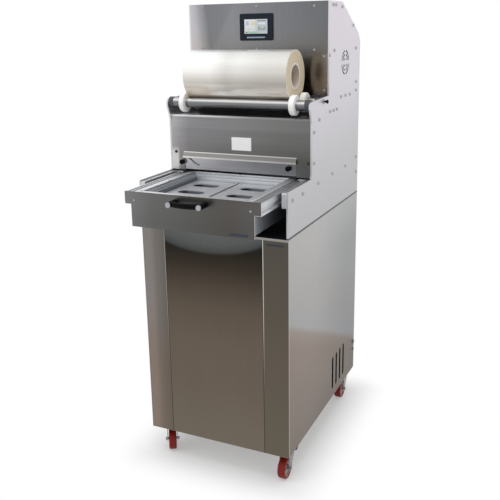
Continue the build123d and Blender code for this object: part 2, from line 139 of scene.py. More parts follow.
class Finish(Graph):
    """A procedural material in object coordinates, which are the frame's own metres."""

    def __init__(self, name, roughness=0.4, metallic=0.0):
        self.material = bpy.data.materials.new(name)
        self.material.use_nodes = True
        super().__init__(self.material.node_tree)
        self.shader = self.tree.nodes["Principled BSDF"]
        self.fix(Roughness=roughness, Metallic=metallic)
        self.position = self.add("ShaderNodeTexCoord").outputs["Object"]
        split = self.add("ShaderNodeSeparateXYZ")
        self.connect(self.position, split.inputs["Vector"])
        self.x, self.y, self.z = split.outputs

    def fix(self, **values):
        """Set shader sockets that are the same all over the surface."""
        for key, value in values.items():
            self.shader.inputs[key.replace("_", " ")].default_value = value

    def streaks(self, size, detail=3.0, roughness=0.55):
        """Noise whose features measure about size, given along X, Y and Z in metres."""
        mapping = self.add("ShaderNodeMapping")
        self.connect(self.position, mapping.inputs["Vector"])
        mapping.inputs["Scale"].default_value = [1 / s for s in size]
        texture = self.add("ShaderNodeTexNoise")
        self.connect(mapping.outputs["Vector"], texture.inputs["Vector"])
        texture.inputs["Scale"].default_value = 1.0
        texture.inputs["Detail"].default_value = detail
        texture.inputs["Roughness"].default_value = roughness
        return texture.outputs["Fac"]

    def ramp(self, value, stops):
        """Colours along a value. The stops give the colour shown at each value, from the lowest value up."""
        low, high = min(stops), max(stops)
        node = self.add("ShaderNodeValToRGB")
        self.connect(self.spread(value, low, high, smooth=False), node.inputs["Fac"])
        marks = node.color_ramp.elements
        for place in list(stops)[1:-1]:
            marks.new((place - low) / (high - low))
        for mark, shown in zip(marks, stops.values()):
            mark.color = srgb(*shown)
        return node.outputs["Color"]

    def blend(self, factor, first, second, mode="MIX"):
        node = self.add("ShaderNodeMix", data_type="RGBA", blend_type=mode)
        self.connect(factor, node.inputs["Factor"])
        self.connect(first, node.inputs["A"])
        self.connect(second, node.inputs["B"])
        return [o for o in node.outputs if o.type == "RGBA"][0]

    def tint(self, colour, other):
        """Multiply two colours."""
        return self.blend(1.0, colour, other, "MULTIPLY")

    def tint_where(self, factor, colour, *shown):
        """Tint a colour with another one as far as the factor says."""
        return self.blend(factor, colour, self.tint(colour, srgb(*shown)))

    def shade(self, colour, value, low, high):
        """Multiply a colour by a grey that runs from low to high as the value runs from 0 to 1."""
        grey = self.spread(value, 0.0, 1.0, low, high, smooth=False)
        combine = self.add("ShaderNodeCombineColor")
        for socket in combine.inputs:
            self.connect(grey, socket)
        return self.tint(colour, combine.outputs["Color"])

    def vary(self, colour, texture, depth):
        """Darken and brighten a colour by a share of it, as a texture runs from 0 to 1."""
        return self.shade(colour, texture, 1 - depth, 1 + depth)

    def colour(self, colour):
        self.connect(colour, self.shader.inputs["Base Color"])

    def rough(self, value, low, high):
        self.connect(self.spread(value, 0.0, 1.0, low, high, smooth=False), self.shader.inputs["Roughness"])

    def bump(self, height, distance):
        node = self.add("ShaderNodeBump")
        node.inputs["Distance"].default_value = distance
        self.connect(height, node.inputs["Height"])
        self.connect(node.outputs["Normal"], self.shader.inputs["Normal"])


# Colours of the sheets, with the reflections that the photo shows painted in place. Ramps run along x, in
# metres to the right of the middle, along y, in metres to the rear, and along z, in metres above the floor.

def plain(*shown):
    """One colour all over."""
    return lambda finish: srgb(*shown)


def front_colour(finish):
    """Taupe sheet with painted shade that darkens it under the drawer, and a paler curved painted reflection
    just below its plate.
    """
    # Painted shade: the taupe darkens from 0.62 m up to under the drawer
    down = finish.ramp(finish.z, {
        0.10: (113, 104, 93),
        0.32: (106, 96, 86),
        0.50: (103, 93, 83),
        0.62: (95, 85, 75),
        0.70: (80, 71, 62),
        0.775: (58, 51, 44),
        0.835: (40, 38, 33),
        0.90: (40, 39, 34),
    })
    # The painted reflection's lower edge rises to both sides of its middle
    middle, bend, steepness = -0.02, 0.85, 6.0
    aside = finish.minus(finish.x, middle)
    squared = finish.times(aside, aside)
    rise = finish.times(squared, finish.plus(finish.times(squared, steepness), bend))
    height = finish.minus(finish.z, rise)
    # Painted reflection: a paler curved band just below the drawer's plate, with a soft lower edge
    mirrored = finish.ramp(height, {
        0.80: (66, 67, 66),
        0.828: (75, 77, 77),
        0.85: (89, 91, 91),
        0.90: (100, 101, 100),
    })
    return finish.blend(finish.spread(height, 0.812, 0.828), down, mirrored)


def post_colour(sheet_of, side, *line):
    """Column: its sheet, with a painted highlight along the inner bend, a pale line that fades out towards
    the floor.
    """
    def colour_of(finish):
        outward = finish.minus(finish.times(finish.x, float(side)), POST_INNER_X)
        # Painted highlight along the inner bend
        bend = finish.times(finish.spread(outward, 0.0035, 0.0015), finish.spread(finish.z, 0.30, 0.75))
        return finish.blend(bend, sheet_of(finish), srgb(*line))
    return colour_of


def left_post_sheet(finish):
    """Painted highlight along the outer bend and a painted warm reflection low down."""
    # Painted highlight along the outer bend, fading to the right
    sheet = finish.ramp(finish.x, {
        -0.278: (120, 117, 115),
        -0.268: (134, 128, 125),
        -0.245: (133, 127, 123),
        -0.225: (119, 114, 110),
        -0.20: (111, 106, 101),
        -0.18: (104, 100, 95),
    })
    # Painted warm reflection low down
    return finish.tint_where(finish.spread(finish.z, 0.66, 0.34), sheet, 255, 241, 229)


def right_post_sheet(finish):
    """Even, a little darker towards the top."""
    return finish.ramp(finish.z, {
        0.10: (101, 94, 82),
        0.45: (98, 90, 80),
        0.75: (88, 82, 74),
        0.90: (83, 80, 73),
    })


def drawer_front_colour(finish):
    """Painted highlights: paler at the left end and along the upper edge."""
    # Painted highlight: paler towards the left end
    across = finish.ramp(finish.x, {
        -0.25: (124, 124, 125),
        -0.14: (104, 104, 103),
        0.0: (94, 94, 92),
        0.14: (88, 85, 82),
        0.25: (95, 93, 92),
    })
    # Painted highlight: paler towards the upper edge
    return finish.shade(across, finish.spread(finish.z, DRAWER_LOW.z, DRAWER_HIGH.z), 0.92, 1.06)


def cabinet_side_colour(finish):
    """Painted reflections: pale at the top and front, with a soft slanting break where the floor begins to
    show in the sheet, painted shade towards the rear and a painted highlight on the front corner.
    """
    slope = 0.452
    slanted = finish.plus(finish.z, finish.times(finish.y, slope))
    # Painted reflection: pale above a soft slanting break, browner below it
    sheet = finish.ramp(slanted, {
        0.05: (115, 102, 92),
        0.22: (123, 109, 100),
        0.40: (134, 118, 108),
        0.455: (145, 132, 123),
        0.478: (158, 158, 159),
        0.60: (166, 163, 161),
        0.78: (176, 174, 173),
        0.98: (182, 181, 179),
    })
    # Painted shade: darker towards the rear, most of all low down
    rearward = finish.spread(finish.y, FRONT + 0.10, REAR)
    darker = finish.times(rearward, finish.spread(finish.z, 0.92, 0.70, 0.4, 1.0))
    sheet = finish.shade(sheet, darker, 1.03, 0.665)
    # Painted reflection: cooler above the break at the rear
    upper_rear = finish.times(rearward, finish.spread(slanted, 0.46, 0.52))
    sheet = finish.tint_where(upper_rear, sheet, 247, 251, 255)
    # Painted reflection: browner below the break at the rear
    lower_rear = finish.times(rearward, finish.spread(slanted, 0.50, 0.42))
    sheet = finish.tint_where(lower_rear, sheet, 226, 223, 210)
    # Painted highlight on the front corner
    corner = finish.times(finish.spread(finish.y, FRONT + 0.010, FRONT + 0.004), 0.6)
    return finish.blend(corner, sheet, srgb(196, 192, 187))


def side_plate_colour(finish):
    """Pale sheet, a little darker lower down, with painted shade in the seam along its lower edge."""
    sheet = finish.ramp(finish.z, {
        0.88: (188, 188, 190),
        1.10: (200, 199, 202),
        1.35: (219, 216, 222),
        1.66: (226, 221, 227),
    })
    # Painted shade in the seam along the plate's lower edge
    seam = finish.spread(finish.z, SIDE_PLATE_BOTTOM + 0.0052, SIDE_PLATE_BOTTOM + 0.0036)
    return finish.blend(seam, sheet, srgb(84, 84, 88))


def head_panel_colour(finish):
    """Painted light: pale beside the left plate with a slanting soft edge, then an even grey that darkens to
    the right, with a painted warm reflection low down.
    """
    display_level, soft_slope, diagonal_slope = 1.55, 0.10, 0.55
    above = finish.minus(finish.z, display_level)
    # Painted light: pale beside the left plate, fading to the right
    sheet = finish.ramp(finish.plus(finish.x, finish.times(above, soft_slope)), {
        -0.28: (212, 210, 215),
        -0.245: (194, 193, 197),
        -0.222: (164, 165, 169),
        -0.195: (132, 133, 137),
        -0.10: (137, 138, 142),
        0.04: (126, 127, 131),
        0.16: (117, 118, 121),
        0.28: (109, 110, 112),
    })
    # Painted light: the sheet a little darker left of a soft diagonal edge
    diagonal = finish.minus(finish.x, finish.times(above, diagonal_slope))
    sheet = finish.shade(sheet, finish.spread(diagonal, -0.155, -0.125), 0.91, 1.05)
    # Painted warm reflection of the roll low on the panel
    return finish.tint_where(finish.spread(finish.z, 1.565, 1.485), sheet, 255, 250, 243)


def roll_panel_colour(finish):
    """Painted shade and reflection: warm and dark behind the roll's lower half, greyer at the top."""
    # Painted shade and reflection, warm and dark low behind the roll
    return finish.ramp(finish.z, {
        1.30: (112, 103, 94),
        1.38: (122, 113, 104),
        1.45: (127, 123, 119),
        1.48: (128, 126, 124),
    })


def cover_colour(finish):
    """Painted highlights at the left end, on the bend along the top and on the lip's two edges, with painted
    shade under the lip and towards the right.
    """
    # Painted light: brighter towards the left end
    across = finish.ramp(finish.x, {
        -0.27: (178, 177, 180),
        -0.235: (158, 157, 160),
        -0.20: (140, 139, 142),
        -0.12: (134, 134, 136),
        0.0: (130, 130, 131),
        0.15: (119, 119, 118),
        0.27: (112, 113, 112),
    })
    # Painted light and shade by height: darkest about 1.105 m, and lighter above the line at 1.21 m
    up = finish.ramp(finish.z, {
        1.05: (250, 250, 250),
        1.105: (222, 219, 214),
        1.16: (240, 239, 237),
        1.208: (246, 246, 246),
        1.211: (255, 255, 255),
        1.27: (255, 255, 255),
    })
    sheet = finish.tint(across, up)
    # Painted reflection: a pale patch at the lower left end
    left_foot = finish.times(finish.spread(finish.x, -0.236, -0.248), finish.spread(finish.z, 1.145, 1.115))
    sheet = finish.blend(left_foot, sheet, srgb(206, 204, 202))
    # Painted highlight along the rounded bend at the top, brighter to the left
    bend = finish.times(finish.spread(finish.z, COVER_HIGH.z - 0.013, COVER_HIGH.z - 0.008),
                        finish.spread(finish.z, COVER_HIGH.z - 0.001, COVER_HIGH.z - 0.003))
    shine = finish.ramp(finish.x, {
        -0.27: (240, 240, 240),
        -0.12: (212, 212, 212),
        0.05: (150, 150, 150),
        0.27: (124, 124, 124),
    })
    sheet = finish.blend(bend, sheet, shine)
    # The lip: painted highlights on the hem's face and the lip's top edge, painted shade under it, darker to
    # the right
    lip = finish.ramp(finish.z, {
        HEM_LOW - 0.001: (90, 90, 90),
        HEM_LOW + 0.001: (228, 227, 225),
        HEM_HIGH: (222, 221, 219),
        HEM_HIGH + 0.001: (150, 148, 145),
        HEM_HIGH + 0.013: (146, 144, 141),
        HEM_HIGH + 0.015: (226, 225, 223),
        HEM_HIGH + 0.019: (226, 225, 223),
    })
    lip = finish.shade(lip, finish.spread(finish.x, -0.24, 0.24, smooth=False), 1.12, 0.66)
    return finish.blend(finish.spread(finish.y, COVER_Y - 0.0004, COVER_Y - 0.0012), sheet, lip)


def guard_colour(finish):
    """Painted highlight at the left end and painted shade towards the upper edge, under the cover's lip."""
    # Painted highlight: brighter towards the left end
    across = finish.ramp(finish.x, {
        -0.24: (206, 206, 209),
        -0.10: (190, 189, 192),
        0.06: (150, 150, 153),
        0.24: (126, 127, 130),
    })
    # Painted shade: darker towards the upper edge, under the cover's lip
    return finish.shade(across, finish.spread(finish.z, 1.055, 1.105), 1.04, 0.90)


def insert_colour(finish):
    """Pale plate with painted shade: a darker rim line and cups that turn darker and bluer towards their
    floor, with a painted shadow at each cup's left end.
    """
    below_top = finish.minus(finish.z, INSERT_HIGH.z)
    # Painted shade: darker and bluer deeper in the cups
    plate = finish.ramp(below_top, {
        -0.026: (126, 133, 149),
        -0.018: (136, 142, 156),
        -0.004: (182, 187, 196),
        -0.001: (234, 236, 240),
        0.0: (234, 236, 240),
    })
    # Painted shade: a dark line along the split between the inserts and a fainter one along their outer and
    # rear edges
    aside = finish.math("ABSOLUTE", finish.x)
    split = finish.spread(aside, INSERT_LOW.x + 0.0045, INSERT_LOW.x + 0.003)
    outer = finish.larger(finish.spread(aside, INSERT_HIGH.x - 0.003, INSERT_HIGH.x - 0.0015),
                          finish.spread(finish.y, INSERT_HIGH.y - 0.004, INSERT_HIGH.y - 0.0025))
    plate = finish.blend(finish.larger(split, finish.times(outer, 0.5)), plate, srgb(112, 116, 122))
    # Painted shadow at the left end of each cup
    from_cup = finish.minus(finish.x, finish.times(finish.math("SIGN", finish.x), CUP_X))
    shadow = finish.times(finish.spread(from_cup, -0.012, -0.040), finish.spread(below_top, -0.001, -0.004))
    return finish.blend(shadow, plate, srgb(62, 66, 76))


def frame_colour(finish):
    """Bright rim and steps, with painted shade in darker lines in the corners between them and towards the
    foot.
    """
    # Painted shade: dark lines in the corners of the steps and a darker foot
    return finish.ramp(finish.minus(finish.z, FRAME_HIGH.z), {
        -0.040: (150, 154, 160),
        -0.028: (196, 199, 204),
        -0.0165: (230, 232, 235),
        -0.0155: (170, 173, 178),
        -0.0145: (224, 226, 229),
        -0.0075: (232, 234, 236),
        -0.0065: (178, 181, 186),
        -0.0055: (226, 228, 230),
        -0.0015: (240, 241, 242),
        0.0: (222, 224, 227),
    })


def frame_shade_colour(finish):
    """Painted shade on the frame's inner left wall, which faces the dark machine: dark at its foot, paler by
    the rim.
    """
    return finish.ramp(finish.minus(finish.z, FRAME_HIGH.z), {
        -0.040: (104, 108, 114),
        -0.0165: (124, 128, 134),
        -0.0155: (176, 180, 186),
        -0.0075: (196, 199, 204),
        -0.0065: (150, 153, 159),
        0.0: (190, 193, 198),
    })


# Kinds of surface

def along_grain(grain, length, width):
    """Size along X, Y and Z of a streak that runs along one of them."""
    return [length if axis == grain else width for axis in "xyz"]


def brushed(name, colour_of, grain="z", roughness=(0.26, 0.40), mottle=0.05, streak=0.05):
    """Brushed sheet: fine scratches and wide soft streaks along the grain, over the colour of colour_of."""
    finish = Finish(name, metallic=1.0)
    fine = finish.streaks(along_grain(grain, length=0.12, width=0.0012), detail=4.0, roughness=0.7)
    wide = finish.streaks(along_grain(grain, length=0.9, width=0.014))
    cloud = finish.streaks((0.22, 0.22, 0.22), detail=2.0)
    colour = colour_of(finish)
    for texture, depth in ((wide, streak), (fine, 1.6 * streak), (cloud, mottle)):
        colour = finish.vary(colour, texture, depth)
    finish.colour(colour)
    finish.rough(finish.plus(finish.times(fine, 0.6), finish.times(wide, 0.4)), *roughness)
    finish.bump(fine, 0.00006)
    return finish.material


def milled(name, colour_of, roughness=(0.28, 0.42), pitch=0.0022):
    """Milled and anodised aluminium: arcs left by the cutter, pale satin sheen."""
    finish = Finish(name, metallic=0.85)
    cutter_place = (0.31, 0.42, 0.0)
    mapping = finish.add("ShaderNodeMapping")
    finish.connect(finish.position, mapping.inputs["Vector"])
    mapping.inputs["Location"].default_value = cutter_place
    arcs = finish.add("ShaderNodeTexWave", wave_type="RINGS", rings_direction="Z")
    finish.connect(mapping.outputs["Vector"], arcs.inputs["Vector"])
    arcs.inputs["Scale"].default_value = 0.32 / pitch
    arcs.inputs["Distortion"].default_value = 1.5
    cloud = finish.streaks((0.06, 0.06, 0.06))
    fine = finish.streaks((0.0015, 0.0015, 0.0015))
    colour = finish.shade(colour_of(finish), cloud, 0.90, 1.08)
    finish.colour(finish.vary(colour, arcs.outputs["Fac"], 0.03))
    finish.rough(fine, *roughness)
    finish.bump(arcs.outputs["Fac"], 0.00004)
    return finish.material


def smooth_part(name, shown, roughness, metallic=0.0, grain=0.0008, mottle=0.05, **fixed):
    """Moulded, cast or painted part: fine grain, a soft cloud of tone and uneven gloss."""
    finish = Finish(name, metallic=metallic)
    fine = finish.streaks((grain, grain, grain))
    cloud = finish.streaks((0.05, 0.05, 0.05))
    finish.colour(finish.vary(finish.vary(srgb(*shown), cloud, mottle), fine, mottle))
    finish.rough(cloud, roughness * 0.85, min(1.0, roughness * 1.2))
    finish.bump(fine, 0.00003)
    finish.fix(**fixed)
    return finish.material


def from_roll_axis(finish):
    """How far a point lies behind and above the axis of the film roll."""
    return finish.minus(finish.y, ROLL_CENTRE.y), finish.minus(finish.z, ROLL_CENTRE.z)


def film_material():
    """Clear film wound on itself: milky, glossy, with painted bands of light and reflection along the roll
    and painted wavy reflections on a puckered lower front.
    """
    finish = Finish("wound_film", metallic=0.5)
    behind, above = from_roll_axis(finish)
    # The angle round the roll is 0 at its front and pi / 2 at its top
    angle = finish.math("ARCTAN2", above, finish.times(behind, -1.0))
    low_front = finish.spread(angle, -0.25, -0.45)
    # Puckers bend the painted bands, most of all at the lower front
    pucker = finish.streaks((0.13, 0.022, 0.015), detail=1.5)
    sway = finish.times(finish.minus(pucker, 0.5), finish.spread(low_front, 0.0, 1.0, 0.06, 0.55))
    # Painted light, shade and reflections in bands round the roll
    bands = finish.ramp(finish.plus(angle, sway), {
        -math.pi: (226, 224, 220),
        -1.5: (220, 216, 208),
        -1.02: (222, 219, 212),
        -0.80: (254, 252, 248),
        -0.55: (255, 253, 250),
        -0.24: (206, 202, 195),
        -0.08: (222, 218, 212),
        0.18: (246, 244, 241),
        0.62: (251, 252, 250),
        1.0: (234, 235, 234),
        1.6: (216, 217, 217),
        math.pi: (226, 224, 220),
    })
    # Painted light: brighter towards the left end
    along = finish.ramp(finish.x, {
        -0.20: (255, 255, 255),
        -0.09: (254, 254, 253),
        -0.03: (228, 227, 226),
        0.02: (235, 234, 233),
        0.10: (223, 221, 218),
        0.20: (220, 217, 214),
    })
    tan = finish.ramp(finish.x, {
        -0.20: (216, 205, 193),
        -0.11: (222, 213, 202),
        -0.05: (255, 253, 249),
        0.20: (253, 248, 240),
    })
    colour = finish.tint(bands, along)
    colour = finish.blend(low_front, colour, finish.tint(colour, tan))
    # Painted wavy reflections over the puckers, left of the middle
    wavy = finish.shade(colour, finish.spread(pucker, 0.45, 0.57), 0.87, 1.22)
    colour = finish.blend(finish.times(low_front, finish.spread(finish.x, -0.14, -0.04)), colour, wavy)
    lines = finish.streaks(along_grain("x", length=0.6, width=0.007), detail=1.0)
    finish.colour(finish.vary(colour, lines, 0.03))
    finish.rough(pucker, 0.24, 0.36)
    finish.bump(lines, 0.00004)
    finish.fix(IOR=1.5, Coat_Weight=0.35, Coat_Roughness=0.12)
    return finish.material


def roll_end_material():
    """End of the roll: hundreds of film edges in rings, warm and a little uneven."""
    finish = Finish("film_edges", roughness=0.45)
    radius = finish.length(*from_roll_axis(finish))
    edges_per_metre = 900.0
    rings = finish.add("ShaderNodeTexNoise", noise_dimensions="1D")
    finish.connect(finish.times(radius, edges_per_metre), rings.inputs["W"])
    rings.inputs["Scale"].default_value = 1.0
    colour = finish.ramp(radius, {
        0.040: (232, 215, 186),
        0.060: (234, 217, 186),
        0.078: (230, 214, 184),
        0.0845: (236, 222, 200),
        0.0860: (250, 244, 230),
        ROLL_RADIUS: (252, 248, 238),
    })
    flecks = finish.streaks((0.02, 0.006, 0.006))
    colour = finish.shade(colour, flecks, 0.92, 1.07)
    finish.colour(finish.shade(colour, rings.outputs["Fac"], 0.84, 1.12))
    finish.bump(rings.outputs["Fac"], 0.0003)
    return finish.material


def core_material():
    """Paper board tube: white cut end and a warm grey bore."""
    finish = Finish("core_board", roughness=0.8)
    radius = finish.length(*from_roll_axis(finish))
    cut_end = finish.spread(radius, CORE_BORE_RADIUS + 0.2 * MM, CORE_BORE_RADIUS + 0.8 * MM)
    colour = finish.blend(cut_end, srgb(214, 199, 184), srgb(250, 249, 246))
    fibre = finish.streaks((0.004, 0.0012, 0.0012), detail=4.0)
    finish.colour(finish.shade(colour, fibre, 0.90, 1.08))
    finish.bump(fibre, 0.0002)
    return finish.material


def polished_bar_material():
    """Ground bar: painted shade where it faces the cover and a painted highlight on top, with streaks along
    it.
    """
    finish = Finish("polished_bar", metallic=1.0)
    fine = finish.streaks((0.0009, 0.2, 0.2))
    lines = finish.streaks(along_grain("x", length=0.5, width=0.003), detail=2.0)
    # Painted highlight on top and painted shade below
    colour = finish.ramp(finish.minus(finish.z, BAR_AXIS_Z), {
        -0.018: (92, 93, 94),
        -0.010: (110, 111, 112),
        -0.002: (120, 121, 122),
        0.0035: (132, 132, 133),
        0.0065: (206, 206, 207),
        0.0105: (240, 240, 240),
        0.0135: (196, 196, 197),
        0.018: (168, 168, 169),
    })
    finish.colour(finish.vary(colour, lines, 0.06))
    finish.rough(fine, 0.18, 0.30)
    finish.bump(fine, 0.00003)
    return finish.material


def lit_panel_material():
    """Lit panel of the display, slightly uneven from edge to edge."""
    finish = Finish("lit_panel", roughness=0.12)
    low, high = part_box("display_screen")
    glow = finish.ramp(finish.z, {low.z: (196, 204, 206), high.z: (214, 213, 208)})
    dots = finish.streaks((0.0009, 0.0009, 0.0009), detail=2.0)
    finish.colour(finish.vary(glow, dots, 0.03))
    finish.fix(Coat_Weight=0.5, Coat_Roughness=0.04)
    return finish.material


steel_front = brushed("steel_front", front_colour)
# The last colour of each column is its painted highlight along the inner bend
steel_post_left = brushed("steel_post_left", post_colour(left_post_sheet, SIDES["left"], 152, 148, 142))
steel_post_right = brushed("steel_post_right", post_colour(right_post_sheet, SIDES["right"], 205, 203, 198))
steel_drawer = brushed("steel_drawer_front", drawer_front_colour, grain="x")
steel_side = brushed("steel_cabinet_side", cabinet_side_colour, roughness=(0.30, 0.44))
steel_plate = brushed("steel_side_plate", side_plate_colour, roughness=(0.38, 0.52), streak=0.02, mottle=0.03)
steel_head = brushed("steel_head", head_panel_colour, roughness=(0.22, 0.34))
steel_mirror = brushed("steel_behind_roll", roll_panel_colour, roughness=(0.13, 0.22), streak=0.07)
steel_cover = brushed("steel_cover", cover_colour, grain="x", streak=0.10)
steel_guard = brushed("steel_guard", guard_colour, grain="x", streak=0.12)
steel_back = brushed("steel_back", plain(150, 147, 144))
# Painted highlight on the end faces of the drawer's front plate
end_face_highlight = brushed("end_face_highlight", plain(214, 213, 210), grain="x")
steel_trim = brushed("steel_trim", plain(150, 148, 145), grain="x")
black_deck = smooth_part("black_deck", (34, 35, 41), 0.30, grain=0.0012)
anodised = milled("anodised_frame", frame_colour, roughness=(0.34, 0.50))
# A shaded copy of the frame's finish for its inner left walls: painted shade
anodised_shade = milled("anodised_shade", frame_shade_colour, roughness=(0.34, 0.50))
anodised_rail = milled("anodised_rail", plain(205, 207, 210))
anodised_dark = milled("anodised_box", plain(196, 202, 210))
cap_metal = milled("handle_cap", plain(168, 171, 178), roughness=(0.20, 0.32), pitch=0.0012)
insert_metal = milled("insert_plate", insert_colour, roughness=(0.30, 0.46), pitch=0.0035)
black_plastic = smooth_part("black_plastic", (9, 9, 10), 0.40, Specular_IOR_Level=0.06)
bezel = smooth_part("bezel", (20, 28, 40), 0.30, Specular_IOR_Level=0.20)
white_plastic = smooth_part("white_plastic", (250, 249, 247), 0.42, mottle=0.015)
dark_steel = smooth_part("dark_steel", (72, 76, 80), 0.45, metallic=0.3)
zinc = smooth_part("zinc_plate", (150, 152, 154), 0.36, metallic=1.0, grain=0.003, mottle=0.10)
red_tread = smooth_part("red_tread", (128, 30, 18), 0.42, grain=0.002, mottle=0.10, Specular_IOR_Level=0.25)
hub_paint = smooth_part("hub_paint", (196, 180, 176), 0.45, metallic=0.4)
screw_steel = smooth_part("screw_steel", (172, 171, 174), 0.30, metallic=1.0)
screw_dark = smooth_part("screw_dark", (60, 60, 64), 0.35, metallic=0.6)
film = film_material()
roll_end = roll_end_material()
core = core_material()
polished_bar = polished_bar_material()
lit_panel = lit_panel_material()

# Finish of each node, under the node's name or what it starts with. The longest match counts.
NODE_FINISHES = {
    "base_tray": steel_front,
    "front_panel": steel_front,
    "front_post_left": steel_post_left,
    "front_post_right": steel_post_right,
    "cabinet_side": steel_side,
    "cabinet_back": steel_back,
    "deck": black_deck,
    "deck_trim": steel_trim,
    "side_plate": steel_plate,
    "head_front_panel": steel_head,
    "head_cover": steel_plate,
    "roll_back_panel": steel_mirror,
    "rear_panel": steel_plate,
    "display_housing": bezel,
    "display_screen": lit_panel,
    "sealing_cover": steel_cover,
    "guard_plate": steel_guard,
    "guard_knobs": black_plastic,
    "guard_lever": zinc,
    "film_core": core,
    "front_roller_bar": polished_bar,
    "rear_roller_bar": polished_bar,
    "front_roller_collars": white_plastic,
    "rear_roller_collars": white_plastic,
    "roller_bearings": dark_steel,
    "drawer_guide": anodised_rail,
    "slide_rail": anodised_rail,
    "drawer_box": anodised_dark,
    "tray_insert": insert_metal,
    "handle_grip": black_plastic,
    "handle_caps": cap_metal,
    "castor_plates": zinc,
    "castor_fork": zinc,
    "castor_hub": hub_paint,
    "castor_tyre": red_tread,
    "brake_pedal": dark_steel,
}


def faces_inner_left(centre, normal):
    """The mould frame's inner left walls, which face right."""
    return normal.x > 0.7 and -0.26 < centre.x < 0


# Nodes with a second material, on the faces that the last entry picks from their centre and normal
TWO_FINISHES = {
    "drawer_front": (steel_drawer, end_face_highlight, lambda centre, normal: normal.x > 0.9),
    "mould_frame": (anodised, anodised_shade, faces_inner_left),
    "film_roll": (film, roll_end, lambda centre, normal: abs(normal.x) > 0.9),
}


def dress(name):
    """Give a CAD node its materials."""
    mesh = nodes[name].data
    mesh.materials.clear()
    if name in TWO_FINISHES:
        first, second, picked = TWO_FINISHES[name]
        mesh.materials.append(first)
        mesh.materials.append(second)
        for polygon in mesh.polygons:
            polygon.material_index = int(picked(polygon.center, polygon.normal))
    else:
        mesh.materials.append(NODE_FINISHES[max(filter(name.startswith, NODE_FINISHES), key=len)])


for node_name in nodes:
    dress(node_name)


# Small fittings, each group one mesh that rides on the body it is fixed to

def add_object(name, data):
    """A new object in the scene."""
    thing = bpy.data.objects.new(name, data)
    bpy.context.scene.collection.objects.link(thing)
    return thing


def from_bmesh(name, shape, body, slot, *materials):
    """Finish a mesh, give it its materials and let it ride on a body."""
    bmesh.ops.recalc_face_normals(shape, faces=shape.faces)
    mesh = bpy.data.meshes.new(name)
    shape.to_mesh(mesh)
    shape.free()
    for material in materials:
        mesh.materials.append(material)
    piece = add_object(name, mesh)
    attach(piece, body)


def skin(shape, loops, index=0, smooth=False):
    """Join closed loops of equally many corners, and close the first and the last one."""
    for lower, upper in zip(loops, loops[1:]):
        for step in range(len(lower)):
            following = (step + 1) % len(lower)
            face = shape.faces.new((lower[step], lower[following], upper[following], upper[step]))
            face.smooth = smooth
            face.material_index = index
    for loop in (loops[0], loops[-1]):
        shape.faces.new(loop).material_index = index


def turned(shape, place, direction, rings, segments=20, hexagons_from=None, smooth=True, index=0):
    """Loft rings of (radius, height) along a direction. From hexagons_from on, the rings are hexagons."""
    place = Matrix.Translation(place) @ direction.to_track_quat("Z", "Y").to_matrix().to_4x4()
    corner = math.pi / 3
    loops = []
    for number, (radius, height) in enumerate(rings):
        loop = []
        for step in range(segments):
            angle = 2 * math.pi * step / segments
            reach = radius
            if hexagons_from is not None and number >= hexagons_from:
                reach = radius * math.cos(corner / 2) / math.cos(angle % corner - corner / 2)
            point = Vector((reach * math.cos(angle), reach * math.sin(angle), height))
            loop.append(shape.verts.new(place @ point))
        loops.append(loop)
    skin(shape, loops, index, smooth)


def front_plate(shape, centre, width, height, thickness, corner, index=0):
    """Thin plate that faces the front, with rounded corners and a softened rim, standing on its centre."""
    corner_steps = 5
    loops = []
    for inset, level in ((0.0, 0.0), (0.0, thickness * 0.6), (min(corner, thickness) * 0.4, thickness)):
        loop = []
        radius = max(corner - inset, 0.05 * MM)
        for quarter, (sx, sz) in enumerate(((1, 1), (-1, 1), (-1, -1), (1, -1))):
            corner_x = sx * (width / 2 - inset - radius)
            corner_z = sz * (height / 2 - inset - radius)
            for step in range(corner_steps + 1):
                angle = math.pi / 2 * (quarter + step / corner_steps)
                x, z = corner_x + radius * math.cos(angle), corner_z + radius * math.sin(angle)
                loop.append(shape.verts.new(Vector(centre) + Vector((x, -level, z))))
        loops.append(loop)
    skin(shape, loops, index)


def one_plate(name, centre, millimetres, body, slot, material):
    """A front plate as a piece of its own, from its width, height, thickness and corner radius."""
    shape = bmesh.new()
    front_plate(shape, centre, *(length * MM for length in millimetres))
    from_bmesh(name, shape, body, slot, material)


# Radius and height of each kind of screw head
SIDE_SCREW = (6.4 * MM, 3.2 * MM)
PANEL_SCREW = (5 * MM, 2.2 * MM)
COVER_BOLT = (5.5 * MM, 4 * MM)
DRAWER_SCREW = (4 * MM, 2 * MM)
FRAME_SCREW = (4.5 * MM, 1.6 * MM)
INSERT_SCREW = (3.6 * MM, 1.4 * MM)
CASTOR_BOLT = (5.5 * MM, 4 * MM)
AXLE_NUT = (5.5 * MM, 2.6 * MM)


def screws(name, places, direction, size, body="machine", slot="zinc", material=screw_steel):
    """Domed screw heads with a hexagon socket."""
    radius, height = size
    socket = radius * 0.46
    rings = [(radius * 0.97, -0.2 * MM), (radius, height * 0.18), (radius * 0.93, height * 0.55),
             (radius * 0.78, height * 0.85), (radius * 0.60, height), (socket, height),
             (socket * 0.96, height * 0.35)]
    shape = bmesh.new()
    for place in places:
        turned(shape, place, direction, rings, hexagons_from=5)
    from_bmesh(name, shape, body, slot, material)


